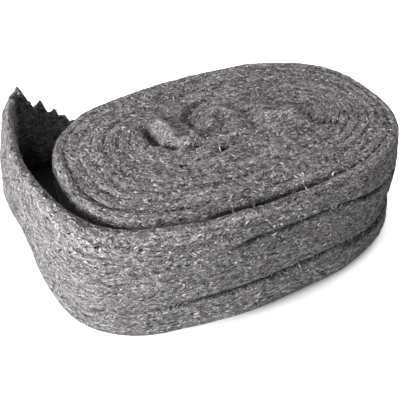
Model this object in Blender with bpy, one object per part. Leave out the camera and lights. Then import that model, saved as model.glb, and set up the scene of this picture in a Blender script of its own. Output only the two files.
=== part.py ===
"""A roll of steel wool: one long strip of matted steel fibre, wound into a flattened roll.

The strip stands on its edge, so the top and the bottom of the roll show the edges of its
turns. The last stretch has come away from the roll: it swings out round the left end and
finishes behind it in a torn, slanting edge.

Metres, +Z up. X is the roll's long axis, and the origin is on the floor under the fold that
the winding starts from. Seen from above, the strip winds clockwise from the middle outwards.
"""

import math

import bmesh
import bpy
from mathutils import Vector, noise

# The strip and the winding
STRIP_WIDTH = 0.100
TURN_PITCH = 0.0085
TURNS = 11
FOLD_HALF_LENGTH = 0.051
EYE_HALF_WIDTH = 0.001
OVAL_POWER = 2.67
CORNER_SQUARENESS = 0.20
SQUAREST_CORNER = math.radians(225)
LEAVE_ANGLE = math.radians(252)
STEPS_PER_TURN = 48
EVENING = 0.11

# How askew the tops of the inner turns lie inside the outer ones
SKEW_ANGLE = math.radians(-6)
SKEW_SHIFT = Vector((0.017, 0.008, 0.0))

# The edges of the turns, on top of the roll and under it
GROOVE_DEPTH = 0.0022
CREST_PLACES = (0.20, 0.50, 0.80)
UNDER_CREST_PLACES = (0.25, 0.75)
RIM_DROP = 0.005
RIM_EASE_TURN_SHARE = 0.06
UNDER_GROOVE_DEPTH = 0.002

# The matted middle of the roll, where the top is crumpled: the size and height of its lumps, how
# far from the fold they are as high as that, and how far further out they fade away
LUMP_SIZE = 0.017
LUMP_HEIGHT = 0.0022
MIDDLE_REACH = 0.0125
MIDDLE_FADE = 0.050

# The tufts, ridges and hollows in the middle: the two ends of each in plan, its half width and
# how far it rises
HUMPS = (
    ((-0.047, 0.028), (-0.045, 0.015), 0.0070, 0.0060),
    ((-0.060, 0.034), (-0.057, 0.008), 0.0035, -0.0080),
    ((-0.057, 0.008), (-0.040, 0.003), 0.0030, -0.0075),
    ((-0.042, 0.002), (-0.007, 0.011), 0.0050, 0.0035),
    ((-0.035, -0.009), (-0.012, 0.000), 0.0025, -0.0045),
    ((-0.024, 0.034), (-0.020, 0.018), 0.0032, -0.0050),
    ((-0.002, 0.020), (0.008, 0.014), 0.0035, -0.0050),
    ((-0.008, 0.026), (0.016, 0.031), 0.0050, 0.0030),
    ((0.027, 0.013), (0.032, 0.007), 0.0040, -0.0055),
    ((0.014, -0.002), (0.026, -0.006), 0.0030, -0.0035),
    ((0.040, 0.004), (0.060, -0.002), 0.0070, 0.0035),
    ((0.066, -0.001), (0.073, -0.016), 0.0028, -0.0045),
    ((0.076, -0.024), (0.086, -0.028), 0.0028, -0.0045),
    ((-0.022, -0.016), (-0.010, -0.022), 0.0030, -0.0040),
)

# The crack that opens between the last two turns before the loose end comes away: its depth,
# how far the turns inside it draw back, the share of that which is left open and the steps that
# it takes to open, and the shares of a turn that it opens and closes over
CRACK_DEPTH = 0.026
CRACK_SLACK = 0.006
CRACK_OPEN_SHARE = 0.5
OPENING_STEPS = 4
CRACK_OPENS = 0.27
CRACK_CLOSES = 0.22

# The outer wall, from its rim to the floor: a height as a share of the strip's width, how far
# the wall bulges there all round, and how far a long fold in it adds to that
WALL_PROFILE = (
    (0.93, 0.0015, 0.0000),
    (0.81, 0.0030, 0.0005),
    (0.76, 0.0030, -0.0045),
    (0.71, 0.0035, 0.0015),
    (0.52, 0.0045, 0.0000),
    (0.32, 0.0040, 0.0000),
    (0.27, 0.0035, -0.0045),
    (0.22, 0.0045, 0.0040),
    (0.10, 0.0055, 0.0060),
    (0.00, 0.0035, 0.0045),
)
BULGE_FROM_TURN_SHARE = 0.20
BULGE_EASE_TURN_SHARE = 0.15

# The angles between which the high fold and the low one run along the wall
HIGH_FOLD = (math.radians(275), math.radians(322))
LOW_FOLD = (math.radians(250), math.radians(352))
FOLD_FADE = math.radians(16)
FOLD_DIVIDE = 0.5

# The loose end: how far the foot and the top of its inner face stand out from the turn that it
# has left, at angles round the corner where it comes away
CORNER_ROUTE = (
    (math.radians(232), -0.0020, -0.0020),
    (math.radians(214), 0.0030, 0.0030),
    (math.radians(196), 0.0080, 0.0055),
)

# Then how far back it is beside the roll, as a share of the way from the roll's long axis to
# its back, and how far the foot and the top stand out past the roll's left end
SIDE_ROUTE = (
    (0.00, 0.0125, 0.0140),
    (0.36, 0.0140, 0.0190),
    (0.72, 0.0160, 0.0190),
    (1.17, 0.0220, 0.0130),
)

# Then the bend behind the roll, the tip of the torn edge and the strip's end: how far right of
# the roll's left end the foot is and how far behind the roll's back, and the same for the top
END_ROUTE = (
    (-0.0180, 0.0430, -0.0050, 0.0360),
    (-0.0020, 0.0580, 0.0010, 0.0510),
    (0.0880, 0.0400, 0.0880, 0.0370),
)
LOOSE_THICKNESS = 0.0105
END_THICKNESS = 0.0045
LOOSE_STEP = 0.0065
TIP_STOPS = [0.04, 0.08]
GAP_FADE = 0.045
HEADING_SPAN = 3
FIRST_LOOSE_STEP = 3
LEAD_IN_STEPS = 2

# The torn edge: a place as a share of the run from its highest tip to the strip's end, and the
# height there as a share of the strip's width
TORN_EDGE = (
    (-0.45, 1.00),
    (-0.12, 0.955),
    (0.00, 0.99),
    (0.12, 0.74),
    (0.20, 0.82),
    (0.25, 0.68),
    (0.33, 0.69),
    (0.36, 0.61),
    (0.43, 0.61),
    (0.47, 0.51),
    (0.52, 0.54),
    (0.57, 0.47),
    (0.64, 0.48),
    (0.69, 0.37),
    (0.76, 0.40),
    (0.83, 0.30),
    (0.91, 0.31),
    (1.00, 0.20),
)
TORN_RIM_THICKNESS = 0.0015
TORN_RIM_DROP = 0.001

# How late along the loose end its rim thins, and how near the rim its faces draw together
RIM_THINS_LATE = 3
RIM_THINS_HIGH = 4

WOOL_COLOUR = (0.19, 0.18, 0.18, 1.0)
WOOL_METALLIC = 0.6
WOOL_ROUGHNESS = 0.55

SHARP_ANGLE = math.radians(50)
WELD = 1e-6
POINTS_PER_KNOT = 24
LAST_STEP = TURNS * STEPS_PER_TURN
OPEN_STEP = LAST_STEP - STEPS_PER_TURN
ROLL_REACH = EYE_HALF_WIDTH + TURN_PITCH * (TURNS - 1)


def smooth(share):
    """Rises smoothly from 0 to 1 as share goes from 0 to 1."""
    share = min(max(share, 0.0), 1.0)
    return share * share * (3 - 2 * share)


def mix(start, end, share):
    """The value or point at a share of the way from start to end."""
    return start + (end - start) * share


def step_angle(step):
    """The angle of a step of the winding, spaced so that the steps are of even length."""
    angle = LEAVE_ANGLE + 2 * math.pi * (LAST_STEP - step) / STEPS_PER_TURN
    return angle - EVENING * (math.sin(4 * angle) - math.sin(4 * LEAVE_ANGLE))


def drawn_back(step):
    """How far the strip's outer face is drawn back at a step: most at the crack's widest angle."""
    turns_on = (step - OPEN_STEP) / STEPS_PER_TURN
    if step < 0 or turns_on > 0.5:
        return 0.0
    past_widest = (turns_on + 0.5) % 1 - 0.5
    reach_of_crack = CRACK_CLOSES if past_widest > 0 else CRACK_OPENS
    nearness = smooth(1 - abs(past_widest) / reach_of_crack)
    return CRACK_SLACK * nearness * min(1.0, step / OPEN_STEP) ** 2


def step_reach(step):
    """How far the strip's outer face stands from the fold at a step, across the roll."""
    return EYE_HALF_WIDTH + TURN_PITCH * max(step, 0) / STEPS_PER_TURN - drawn_back(step)


def oval(angle, reach, skewed=True):
    """A point of the winding in plan, at a distance of reach from the fold."""
    exponent = 2 / (OVAL_POWER + CORNER_SQUARENESS * math.cos(angle - SQUAREST_CORNER))
    c, s = math.cos(angle), math.sin(angle)
    along = (FOLD_HALF_LENGTH + reach) * math.copysign(abs(c) ** exponent, c)
    across = reach * math.copysign(abs(s) ** exponent, s)
    askew = max(0.0, 1 - reach / ROLL_REACH) if skewed else 0.0
    turn = SKEW_ANGLE * askew
    x = along * math.cos(turn) - across * math.sin(turn)
    y = along * math.sin(turn) + across * math.cos(turn)
    return Vector((x, y, 0.0)) + SKEW_SHIFT * askew


def seam_depth(step, groove, crack):
    """How deep the seam outside the strip is cut at a step: a groove that deepens to a crack."""
    deepening = smooth((step - OPEN_STEP) / STEPS_PER_TURN / CRACK_OPENS + 1)
    return mix(groove, crack, deepening) * smooth(step / STEPS_PER_TURN)


def seam_height(step):
    """The height of the top of the strip's outer face: in a groove, the crack or the roll's rim."""
    if step < OPEN_STEP:
        return STRIP_WIDTH - seam_depth(step, GROOVE_DEPTH, CRACK_DEPTH)
    closing = smooth((step - OPEN_STEP) / STEPS_PER_TURN / RIM_EASE_TURN_SHARE)
    return STRIP_WIDTH - mix(CRACK_DEPTH, RIM_DROP, closing)


def at_height(point, height):
    """A point of the plan lifted to a height."""
    return Vector((point.x, point.y, height))


def hump(place):
    """How far the tufts, ridges and hollows of the middle raise the top at a place in plan."""
    rise = 0.0
    for start, end, half_width, height in HUMPS:
        start = Vector((*start, 0.0))
        run = Vector((*end, 0.0)) - start
        share = min(1.0, max(0.0, (place - start).dot(run) / run.length_squared))
        away = (place - start - run * share).length
        rise += height * math.exp(-((away / half_width) ** 2))
    return rise


def crumple(place, reach):
    """How far the top of the turns rises at a place in plan, at a distance of reach from the fold."""
    middle = smooth(1 - (reach - MIDDLE_REACH) / MIDDLE_FADE)
    return hump(place) + noise.noise(place / LUMP_SIZE) * LUMP_HEIGHT * middle


def top_row(step):
    """The strip's top edge at a step of the winding, from its inner face to its outer face."""
    angle = step_angle(step)
    inner_reach, outer_reach = step_reach(step - STEPS_PER_TURN), step_reach(step)
    opening = smooth((step - OPEN_STEP) / OPENING_STEPS) * CRACK_OPEN_SHARE
    face_reach = inner_reach + opening * drawn_back(step - STEPS_PER_TURN)
    crests = [(mix(face_reach, outer_reach, place), STRIP_WIDTH) for place in CREST_PLACES]
    inner, outer = (inner_reach, seam_height(step - STEPS_PER_TURN)), (outer_reach, seam_height(step))
    row = []
    for reach, height in (inner, *crests, outer):
        point = oval(angle, reach)
        row.append(at_height(point, height + crumple(point, reach)))
    return row


def under_row(step):
    """The strip's lower edge at a step of the winding, flat on the floor between its seams."""
    angle = step_angle(step)
    inner = oval(angle, step_reach(step - STEPS_PER_TURN), skewed=False)
    if step >= OPEN_STEP:
        outer = wall_row(step)[-1]
    else:
        outer = oval(angle, step_reach(step), skewed=False)
    seams = [seam_depth(at, UNDER_GROOVE_DEPTH, 0.0) for at in (step - STEPS_PER_TURN, step)]
    flat = [inner.lerp(outer, place) for place in UNDER_CREST_PLACES]
    return [at_height(inner, seams[0]), *flat, at_height(outer, seams[1])]


def fold_strength(angle, height_share):
    """From 0 to 1, how fully a long fold shapes the wall at this angle and height."""
    start, end = HIGH_FOLD if height_share > FOLD_DIVIDE else LOW_FOLD
    turned = angle % (2 * math.pi)
    return smooth((turned - start) / FOLD_FADE) * smooth((end - turned) / FOLD_FADE)


def wall_row(step):
    """The roll's outer face at a step of its last turn, from its rim down to the floor."""
    angle = step_angle(step)
    reach = step_reach(step)
    open_turn = (step - OPEN_STEP) / STEPS_PER_TURN
    bulging = smooth((open_turn - BULGE_FROM_TURN_SHARE) / BULGE_EASE_TURN_SHARE)
    rim = seam_height(step)
    row = [at_height(oval(angle, reach), rim)]
    for height_share, bulge, fold in WALL_PROFILE:
        out = bulging * (bulge + fold * fold_strength(angle, height_share))
        row.append(at_height(oval(angle, reach + out), height_share * rim))
    return row


def loose_routes():
    """The foot and the top of the loose end's inner face in plan, as two lists of knots. The
    second knot is where it leaves the roll, and the third from last is the torn edge's tip."""
    left = -(FOLD_HALF_LENGTH + ROLL_REACH)
    start_steps = (LAST_STEP - LEAD_IN_STEPS, LAST_STEP)
    start = [oval(step_angle(step), step_reach(OPEN_STEP)) for step in start_steps]
    foot, top = list(start), list(start)
    for angle, foot_gap, top_gap in CORNER_ROUTE:
        foot.append(oval(angle, ROLL_REACH + foot_gap))
        top.append(oval(angle, ROLL_REACH + top_gap))
    for back_share, foot_gap, top_gap in SIDE_ROUTE:
        foot.append(Vector((left - foot_gap, back_share * ROLL_REACH, 0.0)))
        top.append(Vector((left - top_gap, back_share * ROLL_REACH, 0.0)))
    for foot_x, foot_y, top_x, top_y in END_ROUTE:
        foot.append(Vector((left + foot_x, ROLL_REACH + foot_y, 0.0)))
        top.append(Vector((left + top_x, ROLL_REACH + top_y, 0.0)))
    for route in (foot, top):
        route.append(route[-1] + (route[-1] - route[-2]))
    return foot, top


def smooth_curve(knots):
    """Points along a smooth curve through all knots but the first and the last."""
    points = []
    for before, start, end, after in zip(knots, knots[1:], knots[2:], knots[3:]):
        for i in range(POINTS_PER_KNOT):
            t = i / POINTS_PER_KNOT
            slope = (end - before) * t
            bend = (2 * before - 5 * start + 4 * end - after) * t**2
            turn = (3 * start - 3 * end + after - before) * t**3
            points.append(start + 0.5 * (slope + bend + turn))
    points.append(knots[-2])
    return points


def torn_height(torn):
    """The height of the torn edge at a share of its run."""
    if torn <= TORN_EDGE[0][0]:
        return STRIP_WIDTH * TORN_EDGE[0][1]
    for (before, low), (after, high) in zip(TORN_EDGE, TORN_EDGE[1:]):
        if torn <= after:
            return STRIP_WIDTH * mix(low, high, (torn - before) / (after - before))
    return STRIP_WIDTH * TORN_EDGE[-1][1]


def loose_places():
    """Where the loose end's sections are: how far each is from where the end leaves the roll, its
    place on the route, counted in points, and its shares of the way to the tip and of the torn
    run."""
    foot = smooth_curve(loose_routes()[0])
    travelled = [0.0]
    for start, end in zip(foot, foot[1:]):
        travelled.append(travelled[-1] + (end - start).length)
    tip = len(foot) - 1 - POINTS_PER_KNOT
    to_tip = travelled[tip]
    torn_run = travelled[-1] - to_tip
    steps = math.ceil(to_tip / LOOSE_STEP)
    stops = [to_tip * i / steps for i in range(FIRST_LOOSE_STEP, steps)]
    torn_stops = sorted(TIP_STOPS + [share for share, height in TORN_EDGE if share >= 0])
    stops += [to_tip + share * torn_run for share in torn_stops]
    places = []
    for distance in stops:
        after = next((i for i, far in enumerate(travelled) if far >= distance), len(foot) - 1)
        part_way = (distance - travelled[after - 1]) / (travelled[after] - travelled[after - 1])
        place = after - 1 + part_way
        places.append((distance, place, distance / to_tip, (distance - to_tip) / torn_run))
    return places


def on_curve(points, place):
    """The point at a place on a curve, counted in points, and the way out from the roll there."""
    i = min(int(place), len(points) - 2)
    near = points[max(0, i - HEADING_SPAN)]
    far = points[min(len(points) - 1, i + 1 + HEADING_SPAN)]
    heading = (far - near).normalized()
    return points[i].lerp(points[i + 1], place - i), Vector((-heading.y, heading.x, 0.0))


def loose_rows():
    """Sections of the loose end, each from the floor up its inner face, over its edge and down
    its outer face. The first is where it leaves the roll."""
    foot_curve, top_curve = (smooth_curve(route) for route in loose_routes())
    rows = [wall_row(OPEN_STEP)[::-1] + top_row(LAST_STEP)[1:-1] + wall_row(LAST_STEP)]
    for distance, place, loosened, torn in loose_places():
        foot, foot_out = on_curve(foot_curve, place)
        top, top_out = on_curve(top_curve, place)
        height = torn_height(torn)
        torn = max(0.0, torn)
        freed = smooth(loosened) ** RIM_THINS_LATE
        gap = CRACK_OPEN_SHARE * CRACK_SLACK * smooth(1 - distance / GAP_FADE)
        thickness = mix(TURN_PITCH + CRACK_SLACK, LOOSE_THICKNESS, smooth(loosened)) - gap
        thickness = mix(thickness, END_THICKNESS, torn)
        rim_thickness = mix(thickness, TORN_RIM_THICKNESS, freed)
        rim = height - mix(RIM_DROP, TORN_RIM_DROP, freed)
        inner, outer = [], []
        for height_share, bulge, fold in ((1.0, 0.0, 0.0),) + WALL_PROFILE:
            level = height_share * rim / STRIP_WIDTH
            out = foot_out.lerp(top_out, level).normalized()
            inside = at_height(foot.lerp(top, level) + out * gap, height_share * rim)
            drawn_in = height_share**RIM_THINS_HIGH
            band = mix(thickness, rim_thickness, drawn_in) + bulge * (1 - torn)
            inner.append(inside)
            outer.append(inside + out * band)
        crests = [at_height(inner[0].lerp(outer[0], share), height) for share in CREST_PLACES]
        rows.append(inner[::-1] + crests + outer)
    return rows


def sweep(bm, rows):
    """Draws the first row as a chain of edges, and extrudes it to each row after it."""
    chain = [bm.verts.new(point) for point in rows[0]]
    edges = [bm.edges.new(pair) for pair in zip(chain, chain[1:])]
    for row in rows[1:]:
        extruded = set(bmesh.ops.extrude_edge_only(bm, edges=edges)["geom"])
        links = [next(e for e in vert.link_edges if e.other_vert(vert) in extruded) for vert in chain]
        chain = [link.other_vert(vert) for link, vert in zip(links, chain)]
        for vert, point in zip(chain, row):
            vert.co = point
        edges = [bm.edges.get(pair) for pair in zip(chain, chain[1:])]
    return chain


def build_roll():
    """The whole strip as one closed solid."""
    bm = bmesh.new()
    sweep(bm, [top_row(step) for step in range(LAST_STEP + 1)])
    sweep(bm, [under_row(step) for step in range(LAST_STEP + 1)])
    sweep(bm, [wall_row(step) for step in range(OPEN_STEP, LAST_STEP + 1)])
    torn_end = sweep(bm, loose_rows())
    bm.faces.new(torn_end)
    bmesh.ops.remove_doubles(bm, verts=bm.verts, dist=WELD)
    open_edges = [edge for edge in bm.edges if edge.is_boundary]
    bmesh.ops.holes_fill(bm, edges=open_edges)
    bmesh.ops.recalc_face_normals(bm, faces=bm.faces)
    mesh = bpy.data.meshes.new("steel_wool_roll")
    bm.to_mesh(mesh)
    bm.free()
    mesh.materials.append(wool_material())
    mesh.shade_smooth()
    mesh.set_sharp_from_angle(angle=SHARP_ANGLE)
    roll = bpy.data.objects.new("steel_wool_roll", mesh)
    bpy.context.scene.collection.objects.link(roll)


def wool_material():
    """Dull grey steel fibre."""
    material = bpy.data.materials.new("steel_wool")
    material.use_nodes = True
    shader = material.node_tree.nodes["Principled BSDF"]
    shader.inputs["Base Color"].default_value = WOOL_COLOUR
    shader.inputs["Metallic"].default_value = WOOL_METALLIC
    shader.inputs["Roughness"].default_value = WOOL_ROUGHNESS
    material.diffuse_color = WOOL_COLOUR
    return material


def main():
    for existing in list(bpy.data.objects):
        bpy.data.objects.remove(existing)
    build_roll()


main()
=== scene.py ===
"""The looks of a roll of steel wool: one long strip of matted steel fibre, wound into a
flattened roll, whose last stretch has swung loose and ends in a torn edge.

The strip is modelled as it was wound. The inner turns are one long band that lies in a
spiral, and the last turn with the loose end is a second band that carries on from it. Fine
curly strands of steel lie over both.

Metres, +Z up. X is the roll's long axis, and the strip winds clockwise from the middle.
"""

import bisect
import collections
import math
import random

import bmesh
import bpy
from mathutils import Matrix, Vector, noise
from mathutils.bvhtree import BVHTree


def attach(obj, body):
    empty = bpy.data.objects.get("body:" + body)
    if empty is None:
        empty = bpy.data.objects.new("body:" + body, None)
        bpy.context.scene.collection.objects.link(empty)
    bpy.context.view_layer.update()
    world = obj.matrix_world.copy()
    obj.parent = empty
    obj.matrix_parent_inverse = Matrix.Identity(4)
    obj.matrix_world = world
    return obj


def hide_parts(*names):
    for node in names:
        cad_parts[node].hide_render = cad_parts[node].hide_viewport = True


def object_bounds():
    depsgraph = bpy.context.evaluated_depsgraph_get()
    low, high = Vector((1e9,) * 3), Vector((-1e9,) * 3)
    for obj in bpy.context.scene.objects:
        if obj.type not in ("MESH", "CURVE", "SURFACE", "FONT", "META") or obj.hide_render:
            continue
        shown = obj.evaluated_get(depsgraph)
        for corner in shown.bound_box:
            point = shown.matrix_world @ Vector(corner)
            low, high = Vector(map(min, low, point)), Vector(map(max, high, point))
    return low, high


bl_info = {
    "name": "Steel wool roll",
    "version": (1, 0, 0),
    "blender": (4, 5, 0),
    "location": "3D View > Sidebar > Steel wool",
    "description": "Winds a roll of steel wool and covers it with loose strands",
    "category": "Add Mesh",
}

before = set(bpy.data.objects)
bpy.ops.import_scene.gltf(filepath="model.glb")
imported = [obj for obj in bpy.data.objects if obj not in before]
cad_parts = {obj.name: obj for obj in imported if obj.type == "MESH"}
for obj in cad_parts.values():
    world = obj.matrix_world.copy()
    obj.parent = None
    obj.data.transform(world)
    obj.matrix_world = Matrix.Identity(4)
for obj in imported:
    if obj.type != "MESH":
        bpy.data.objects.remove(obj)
CAD_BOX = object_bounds()
CAD_NODE = "steel_wool_roll"
BODY = "root"

# The oval that the turns follow: how square it is, and at which corner most, where the loose end
# leaves it, how its steps are spread, and how far the middle turns are turned and shifted
OVAL_POWER = 2.67
CORNER_SQUARENESS = 0.20
SQUAREST_CORNER = math.radians(225)
LEAVE_ANGLE = math.radians(252)
STEPS_PER_TURN = 48
EVENING = 0.11
SKEW_ANGLE = math.radians(-6)
SKEW_SHIFT = Vector((0.017, 0.008, 0.0))

# The crack between the last two turns before the loose end comes away: how far the inner turns
# draw back there, the share of that which is left open, the shares of a turn over which it opens
# and closes, the steps over which the turns part, and how far along the loose end it fades
CRACK_SLACK = 0.006
CRACK_OPEN_SHARE = 0.5
CRACK_OPENS = 0.27
CRACK_CLOSES = 0.18
CRACK_STEPS = 8
GAP_FADE = 0.045

# The matted middle of the roll: the size and height of the lumps there, the share of that height
# beside the wall, how far out the middle reaches and over how far it fades
LUMP_SIZE = 0.017
LUMP_HEIGHT = 0.0022
LUMP_SHARE_OUTSIDE = 0.15
MIDDLE_REACH = 0.0125
MIDDLE_FADE = 0.050

# The outer wall: a height as a share of its rim's, how far the wall bulges there all round, how
# far a long fold and a crease add to that, and how much higher, as a share again, a creased
# stretch lies along the front than at the right end
WALL_PROFILE = (
    (1.00, 0.0000, 0.0000, 0.0000, 0.00),
    (0.93, 0.0015, 0.0000, 0.0000, 0.00),
    (0.79, 0.0030, 0.0005, 0.0000, 0.09),
    (0.76, 0.0030, 0.0000, -0.0045, 0.09),
    (0.73, 0.0035, 0.0015, 0.0000, 0.09),
    (0.52, 0.0045, 0.0000, 0.0000, 0.00),
    (0.30, 0.0040, 0.0000, 0.0000, 0.07),
    (0.27, 0.0035, 0.0000, -0.0045, 0.07),
    (0.24, 0.0045, 0.0035, 0.0000, 0.07),
    (0.10, 0.0055, 0.0060, 0.0000, 0.00),
    (0.00, 0.0035, 0.0045, 0.0000, 0.00),
)

# The shares of the last turn after which the wall starts to bulge and over which it goes on
BULGE_FROM = 0.20
BULGE_EASE = 0.15

# The angles over which the upper and lower folds and creases run, and over which the creases come
# down from the front's level to the right end's
HIGH_FOLD = (math.radians(275), math.radians(322))
LOW_FOLD = (math.radians(250), math.radians(352))
HIGH_CREASE = (math.radians(250), math.radians(322))
LOW_CREASE = (math.radians(226), math.radians(352))
CREASE_DESCENT = (math.radians(275), math.radians(305))

# How far creases run on along the loose end, how all of them fade, the height share between upper
# and lower ones, the share of their depth that shows, and how their level wavers
CREASE_RUN = 0.080
FOLD_FADE = math.radians(16)
FOLD_DIVIDE = 0.5
FOLD_EASE = 0.6
WAVER_SIZE = 0.35
WAVER_STRETCH = 3
WAVER_SHARE = 0.012

# The loose end's route, first round the corner where it comes away (an angle, and how far the
# foot and the top of its inner face stand out), then beside the roll (how far back, as a share
# of the way to the roll's back, and how far out), then behind it (right of the roll's left end
# and behind its back, for the foot and for the top)
CORNER_ROUTE = (
    (math.radians(232), -0.0020, -0.0025),
    (math.radians(214), 0.0030, 0.0007),
    (math.radians(196), 0.0080, 0.0047),
)
SIDE_ROUTE = (
    (0.00, 0.0125, 0.0132),
    (0.36, 0.0140, 0.0190),
    (0.72, 0.0160, 0.0190),
    (1.17, 0.0220, 0.0130),
)
END_ROUTE = (
    (-0.0180, 0.0430, -0.0050, 0.0360),
    (-0.0020, 0.0580, 0.0010, 0.0510),
    (0.0880, 0.0400, 0.0880, 0.0370),
)

# The loose end: its thickness where it hangs free and at its end, the steps of the last turn that
# lead into it, the points between two knots of its route, those that its heading is taken over,
# and about how long a step is and how many it needs to lose the last turn's shape
LOOSE_THICKNESS = 0.0105
END_THICKNESS = 0.0045
LEAD_IN_STEPS = 2
POINTS_PER_KNOT = 24
HEADING_SPAN = 3
STEP_RUN = 0.017
BLEND_STEPS = 2.5

# The torn edge: a share of the run from its highest tip to the strip's end, and the height
# there as a share of the strip's width
TORN_EDGE = (
    (-0.45, 1.00),
    (-0.12, 0.93),
    (-0.05, 0.955),
    (0.00, 1.005),
    (0.12, 0.74),
    (0.20, 0.82),
    (0.25, 0.68),
    (0.33, 0.69),
    (0.36, 0.61),
    (0.43, 0.61),
    (0.47, 0.51),
    (0.52, 0.54),
    (0.57, 0.47),
    (0.64, 0.48),
    (0.69, 0.37),
    (0.76, 0.40),
    (0.83, 0.30),
    (0.91, 0.31),
    (1.00, 0.20),
)

# The torn edge's small jags, how soon they start and how low the edge may come, and the share of
# the spacing that is left between its sections
JAG_SIZE = 0.0036
JAG_HEIGHT = 0.0024
JAG_EASE = 6
LOWEST_TEAR = 0.006
TORN_SPACING = 0.55

# The strip's rounded upper edge: how far below its crest the outer face ends, the inner face at a
# closed seam, beside the crack and further down again where the loose end leaves, and both at the
# torn edge; how thin the strip is there, how late along it and how high up it thins, and how
# sharply the edge turns down on its inner and outer side
RIM_DROP = 0.005
SEAM_DROP = 0.0007
CRACK_DROP = 0.0065
LEAVING_DROP = 0.001
TORN_RIM_DROP = 0.001
TORN_RIM_THICKNESS = 0.0015
RIM_THINS_LATE = 3
RIM_THINS_HIGH = 4
INNER_BOW = 4
OUTER_BOW = 2.6

# Where the matted middle of the roll stands up or sinks in: the ends of a stretch in plan, its
# half width and how far it rises
HUMPS = (
    ((-0.046, 0.030), (-0.045, 0.010), 0.0065, 0.0055),
    ((-0.059, 0.031), (-0.058, 0.012), 0.0033, -0.0080),
    ((-0.058, 0.010), (-0.048, 0.000), 0.0028, -0.0080),
    ((-0.048, 0.000), (-0.041, -0.001), 0.0028, -0.0040),
    ((-0.025, 0.030), (-0.016, 0.038), 0.0030, -0.0040),
    ((-0.016, 0.038), (-0.006, 0.045), 0.0027, -0.0045),
    ((-0.006, 0.045), (0.013, 0.049), 0.0025, -0.0045),
    ((-0.029, 0.060), (-0.012, 0.062), 0.0025, -0.0035),
    ((-0.012, 0.062), (0.003, 0.065), 0.0025, -0.0035),
    ((-0.022, 0.022), (-0.020, 0.017), 0.0034, -0.0035),
    ((-0.013, 0.028), (-0.011, 0.026), 0.0030, -0.0030),
    ((0.002, 0.021), (0.008, 0.019), 0.0034, -0.0030),
    ((0.023, 0.003), (0.026, 0.001), 0.0036, -0.0030),
    ((-0.037, -0.009), (-0.019, -0.001), 0.0026, -0.0030),
    ((-0.022, -0.021), (-0.013, -0.018), 0.0030, -0.0040),
    ((-0.054, -0.024), (-0.026, -0.021), 0.0025, -0.0025),
    ((-0.042, -0.001), (-0.007, 0.010), 0.0050, 0.0035),
    ((0.006, 0.027), (0.014, 0.017), 0.0060, 0.0030),
    ((-0.011, 0.019), (-0.008, 0.012), 0.0045, 0.0030),
    ((0.040, 0.004), (0.060, -0.002), 0.0070, 0.0035),
    ((0.066, -0.001), (0.073, -0.016), 0.0028, -0.0045),
    ((0.076, -0.024), (0.086, -0.028), 0.0028, -0.0045),
)

# The points across the strip: as shares of the way over its upper edge, as height shares down the
# sides and across the foot of the inner turns, and how many go up a face of the last turn and how
# near its rim they come
EDGE_SHARES = (0.0, 0.06, 0.16, 0.30, 0.43, 0.57, 0.70, 0.84, 0.94, 1.0)
SIDE_LEVELS = (0.90, 0.74, 0.30)
FOOT_SHARES = (0.72, 0.28)
FACE_POINTS = 46
FACE_TOP = 0.985

# The seams between turns: how deep closed and open ones are, how large the patches of either kind
# are, how far they stand open on the whole and how much that varies, and how deep they are
# underneath; then the lip beside the crack, and the waves along the turns' crests, with their
# height near the wall and in the middle
SEAM_DEPTHS = (0.0001, 0.0013)
SEAM_PATCH = 0.020
SEAM_OPEN_SHARE = 0.45
SEAM_VARIES = 1.1
FOOT_SEAM_DEPTH = 0.002
LIP_DEPTH = 0.005
CREST_WAVE = 0.030
CREST_LIFTS = (0.0005, 0.0014)

# How the turns' upper edges wander in plan: the size of wide and narrow bends, how far they go near
# the wall and in the middle, and how far below the edge a face still follows them
WANDER_SIZES = (0.045, 0.016)
WANDER_SHIFTS = (0.0012, 0.0032)
WANDER_FADE = 0.020

# The lumps of matted wool, each kind's size and height: coarse, fine, drawn out along the strip and
# finest, then the waves of the wall and of the rim
COARSE_LUMPS = (0.0105, 0.00022)
FINE_LUMPS = (0.0042, 0.00022)
STREAKS = (0.0028, 0.00035)
STREAK_STRETCH = 9
GRAIN = (0.0020, 0.00020)
WALL_WAVES = (0.021, 0.0009)
WALL_WAVE_STRETCH = (1 / 2.2, 1.6)
RIM_WAVES = (0.028, 0.001)

# How high above the floor a face is calmer, and the share of the lumps that is left there and on
# the inside of the loose end's last stretch
CALM_FOOT = 0.004
CALM_FOOT_SHARE = 0.3
CALM_END_SHARE = 0.6

# Painted shade, darkening the wool's colour from 0 in the open to 1 deep between its folds: at an
# open seam, at the foot, inside the gap and how far down that takes, over how many steps of the last
# turn it fades, and at a crease's right end; below 0, painted light, at the top of the loose end's
# inner face, from a share of the run to its tip on; and how much the middle rises or sinks for each
# 1 of shade, as humps are painted lighter and hollows darker
SEAM_SHADE = 0.95
FOOT_SHADE = 0.5
INSIDE_SHADE = 0.9
INSIDE_SHADE_FADE = 0.085
GAP_SHADE_STEPS = 16
END_CREASE_SHADE = 0.45
PANEL_TOP_SHADE = -0.75
PANEL_FROM = 0.95
PANEL_EASE = 0.20
HUMP_PER_SHADE = 0.009

# Where strands lie: not on faces that look down, that are in deeper painted shade, lie lower, or
# have other wool close before them
STEEPEST_DOWN = -0.4
BARE_SHADE = 0.35
BARE_FOOT = 0.0015
CLEAR_START = 0.0003
CLEAR_ROOM = 0.014

# A strand's rings and sides, how far it strays from the strip's direction on a wall and on the flat
# top, its least share of the full length, how far it turns, how deep it is bedded, how high it
# arches, the share of strands with a flying end, how high and how suddenly that rises, how much the
# thickness varies, and the share of it that is left at the ends
RINGS = 4
SIDES = 3
STRAND_SPREADS = (0.45, 0.8)
SHORTEST_SHARE = 0.35
STRAND_TURNING = 2.4
STRAND_BED = 0.00004
STRAND_ARCH = (0.00005, 0.00045)
FLYING_SHARE = 0.02
FLYING_RISE = (0.0004, 0.0016)
FLYING_BEND = 1.5
THICKNESS_SPREAD = (0.7, 1.3)
THIN_END = 0.55

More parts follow.
